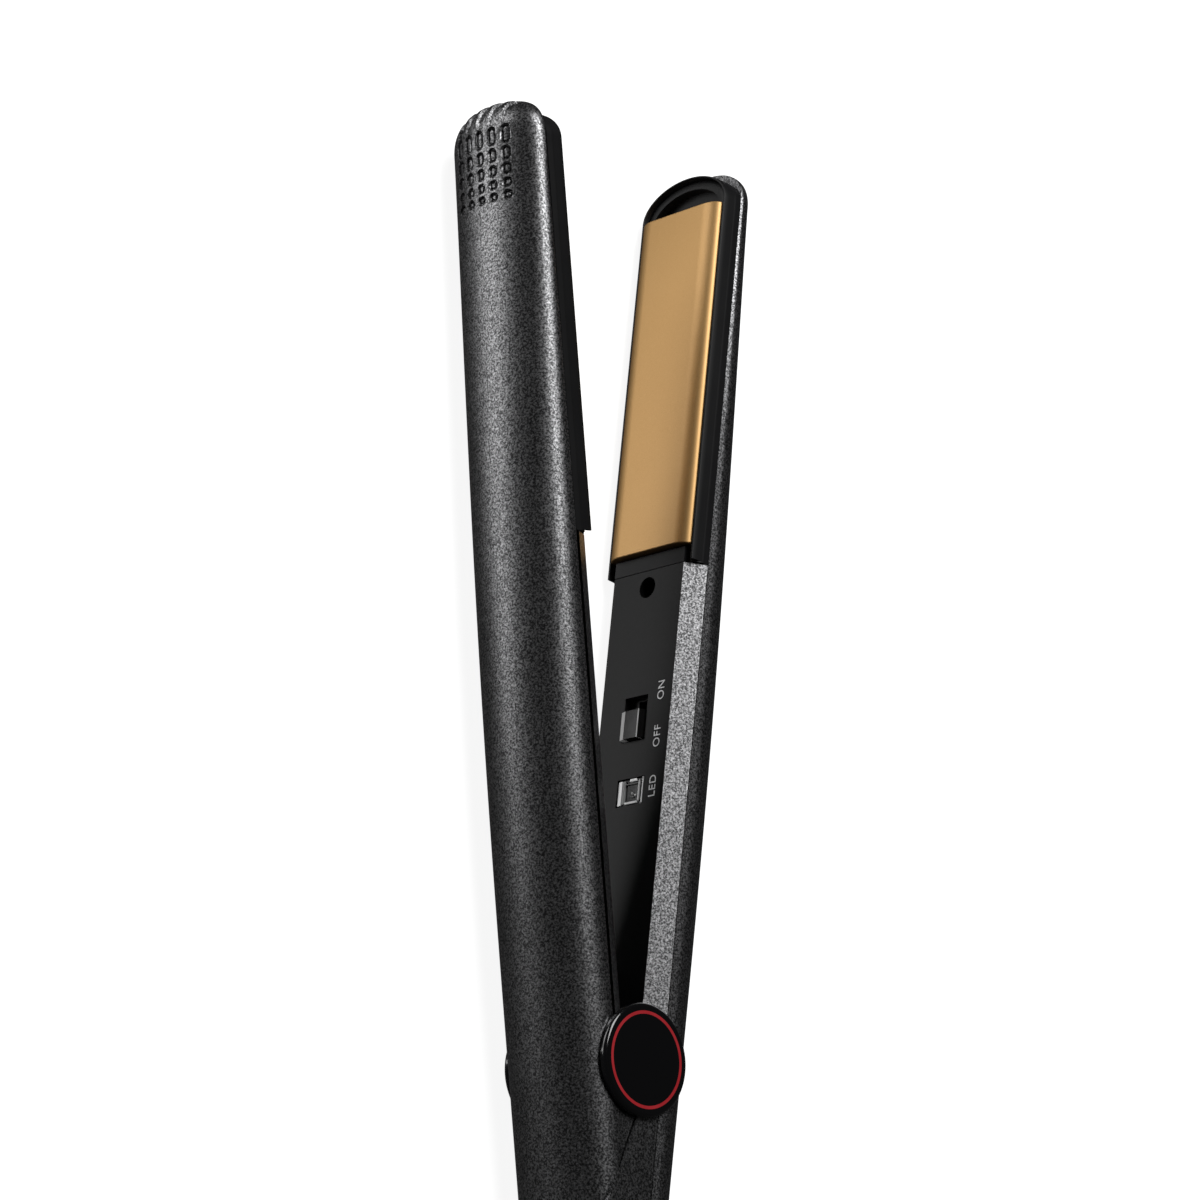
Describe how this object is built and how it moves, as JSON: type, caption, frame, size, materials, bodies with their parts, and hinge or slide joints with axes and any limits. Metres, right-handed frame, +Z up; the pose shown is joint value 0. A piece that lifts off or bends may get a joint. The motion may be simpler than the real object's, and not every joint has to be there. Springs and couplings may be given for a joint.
{
  "type": "hair straightener",
  "caption": "Two-arm hair straightener, half open on its side: sprung hinge, floating heated plates, slide switch, lamp and cord swivel.",
  "frame": {"origin": "on the hinge axis, at the outer face of the lower hinge cover, on which the object rests", "axes": "+X from the hinge to the tips, midway between the open arms; +Y towards the arm without the switch; +Z up along the hinge axis"},
  "size_m": [0.2823, 0.0774, 0.032],
  "materials": {
    "shell_paint": "soft-touch charcoal paint with fine metallic fleck",
    "inner_plastic": "black moulded plastic, fine texture",
    "tail_plastic": "charcoal moulded plastic with fine fleck",
    "carrier_plastic": "black heat-proof plastic",
    "plate_anodised": "satin gold anodised",
    "heater_ceramic": "unglazed",
    "clamp_aluminium": "rolled",
    "fuse_metal": "plated",
    "silicone": "heat-proof silicone",
    "steel": "ground",
    "spring_steel": "drawn wire",
    "bush_brass": "turned",
    "badge_gloss": "gloss black",
    "ring_red": "red",
    "knob_gloss": "gloss black",
    "inner_black": "moulded",
    "lens_clear": "clear",
    "led_body": "clear epoxy",
    "board": "solder resist",
    "chip_black": "moulded epoxy",
    "capacitor_yellow": "moulded",
    "terminal_green": "moulded",
    "swivel_rubber": "satin black",
    "brush_holder": "formed",
    "screw_steel": "blackened"
  },
  "bodies": {
    "lower_arm": {"lower_outer_shell": "shell_paint", "lower_inner_cover": "inner_plastic", "tail_cover": "tail_plastic", "lower_plate_carrier": "carrier_plastic", "lower_float_pads": "silicone", "hinge_axle": "steel", "hinge_washers": "steel", "hinge_spring": "spring_steel", "hinge_cover_top": "badge_gloss", "hinge_cover_bottom": "badge_gloss", "badge_ring_top": "ring_red", "badge_ring_bottom": "ring_red", "switch_housing": "inner_black", "led_lens": "lens_clear", "led": "led_body", "circuit_board": "board", "triac": "chip_black", "film_capacitor": "capacitor_yellow", "control_chip": "chip_black", "buzzer": "inner_black", "terminal_block": "terminal_green", "swivel_brushes": "brush_holder", "lower_case_screw": "screw_steel"},
    "upper_arm": {"upper_outer_shell": "shell_paint", "upper_inner_cover": "inner_plastic", "upper_plate_carrier": "carrier_plastic", "upper_float_pads": "silicone", "hinge_bushes": "bush_brass", "upper_case_screw": "screw_steel"},
    "lower_plate_float": {"lower_plate": "plate_anodised", "lower_heater": "heater_ceramic", "lower_heater_clamp": "clamp_aluminium", "lower_thermal_fuse": "fuse_metal"},
    "upper_plate_float": {"upper_plate": "plate_anodised", "upper_heater": "heater_ceramic", "upper_heater_clamp": "clamp_aluminium", "upper_thermal_fuse": "fuse_metal"},
    "switch": {"switch_knob": "knob_gloss"},
    "cord_swivel": {"cord_swivel": "swivel_rubber", "slip_rings": "bush_brass"}
  },
  "joints": [
    {"name": "arm_hinge", "type": "hinge", "parent": "lower_arm", "child": "upper_arm", "pos_m": [0, 0, 0.016], "axis": [0, 0, 1], "range_deg": [-13.4, 0], "stiffness_Nm_per_rad": 0.12, "springref_deg": 20.05, "deforming": ["hinge_spring"]},
    {"name": "upper_plate_press", "type": "slide", "parent": "upper_arm", "child": "upper_plate_float", "axis": [-0.1167, 0.9932, 0], "range_m": [0, 0.0008], "stiffness_N_per_m": 1200, "springref_m": -0.0008, "deforming": ["upper_float_pads"]},
    {"name": "lower_plate_press", "type": "slide", "parent": "lower_arm", "child": "lower_plate_float", "axis": [-0.1167, -0.9932, 0], "range_m": [0, 0.0008], "stiffness_N_per_m": 1200, "springref_m": -0.0008, "deforming": ["lower_float_pads"]},
    {"name": "power_switch", "type": "slide", "parent": "lower_arm", "child": "switch", "axis": [0.9932, -0.1167, 0], "range_m": [0, 0.0034]},
    {"name": "cord_turn", "type": "hinge", "parent": "lower_arm", "child": "cord_swivel", "pos_m": [-0.05959, 0.007, 0.016], "axis": [-0.9932, 0.1167, 0], "continuous": true}
  ]
}
